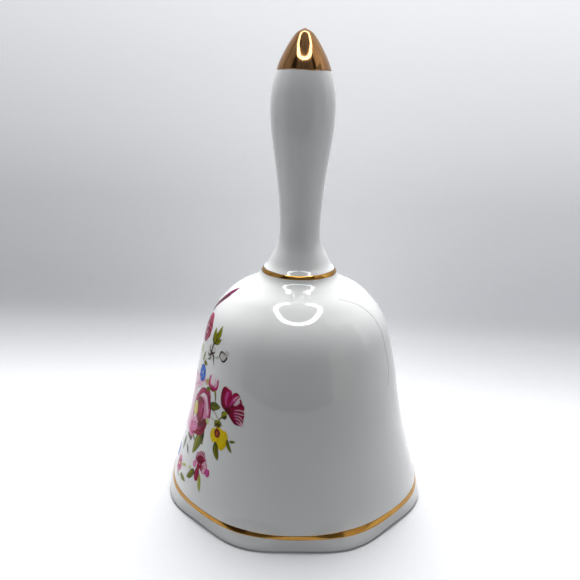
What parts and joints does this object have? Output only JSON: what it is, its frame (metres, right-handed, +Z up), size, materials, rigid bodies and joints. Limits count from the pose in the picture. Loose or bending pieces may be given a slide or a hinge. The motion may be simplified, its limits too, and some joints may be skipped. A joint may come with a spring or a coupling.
{
  "type": "hand bell",
  "caption": "Glazed porcelain hand bell with a lobed rim, baluster handle with gilt cap, painted flower spray, and a bead clapper hung inside on a wire chain.",
  "frame": {"origin": "centre of the plane that the rim stands on", "axes": "+Z up through the handle; the side with the painted flower spray faces -Y; flats of the lobed rim face +X and +Y"},
  "size_m": [0.074, 0.074, 0.128],
  "materials": {
    "porcelain": "gloss",
    "gilding": "polished",
    "plaster": "matte",
    "wire": "satin",
    "bead": "gloss"
  },
  "bodies": {
    "bell": {"bell_cup": "porcelain", "handle": "porcelain", "gilt_cap": "gilding", "gilt_neck_ring": "gilding", "gilt_rim_band": "gilding", "crown_plug": "plaster", "hanger_staple": "wire"},
    "link_1": {"chain_link_1": "wire"},
    "link_2": {"chain_link_2": "wire"},
    "link_3": {"chain_link_3": "wire"},
    "link_4": {"chain_link_4": "wire"},
    "clapper": {"clapper_eye": "wire", "clapper_bead": "bead"}
  },
  "joints": [
    {"name": "link_1_swing", "type": "hinge", "parent": "bell", "child": "link_1", "pos_m": [0, 0, 0.057], "axis": [1, 0, 0], "range_deg": [-30, 30]},
    {"name": "link_2_swing", "type": "hinge", "parent": "link_1", "child": "link_2", "pos_m": [0, 0, 0.0508], "axis": [0, 1, 0], "range_deg": [-36, 36]},
    {"name": "link_3_swing", "type": "hinge", "parent": "link_2", "child": "link_3", "pos_m": [0, 0, 0.0446], "axis": [-1, 0, 0], "range_deg": [-45, 45]},
    {"name": "link_4_swing", "type": "hinge", "parent": "link_3", "child": "link_4", "pos_m": [0, 0, 0.0384], "axis": [0, -1, 0], "range_deg": [-55, 55]},
    {"name": "clapper_swing", "type": "hinge", "parent": "link_4", "child": "clapper", "pos_m": [0, 0, 0.0322], "axis": [1, 0, 0], "range_deg": [-60, 60]}
  ]
}
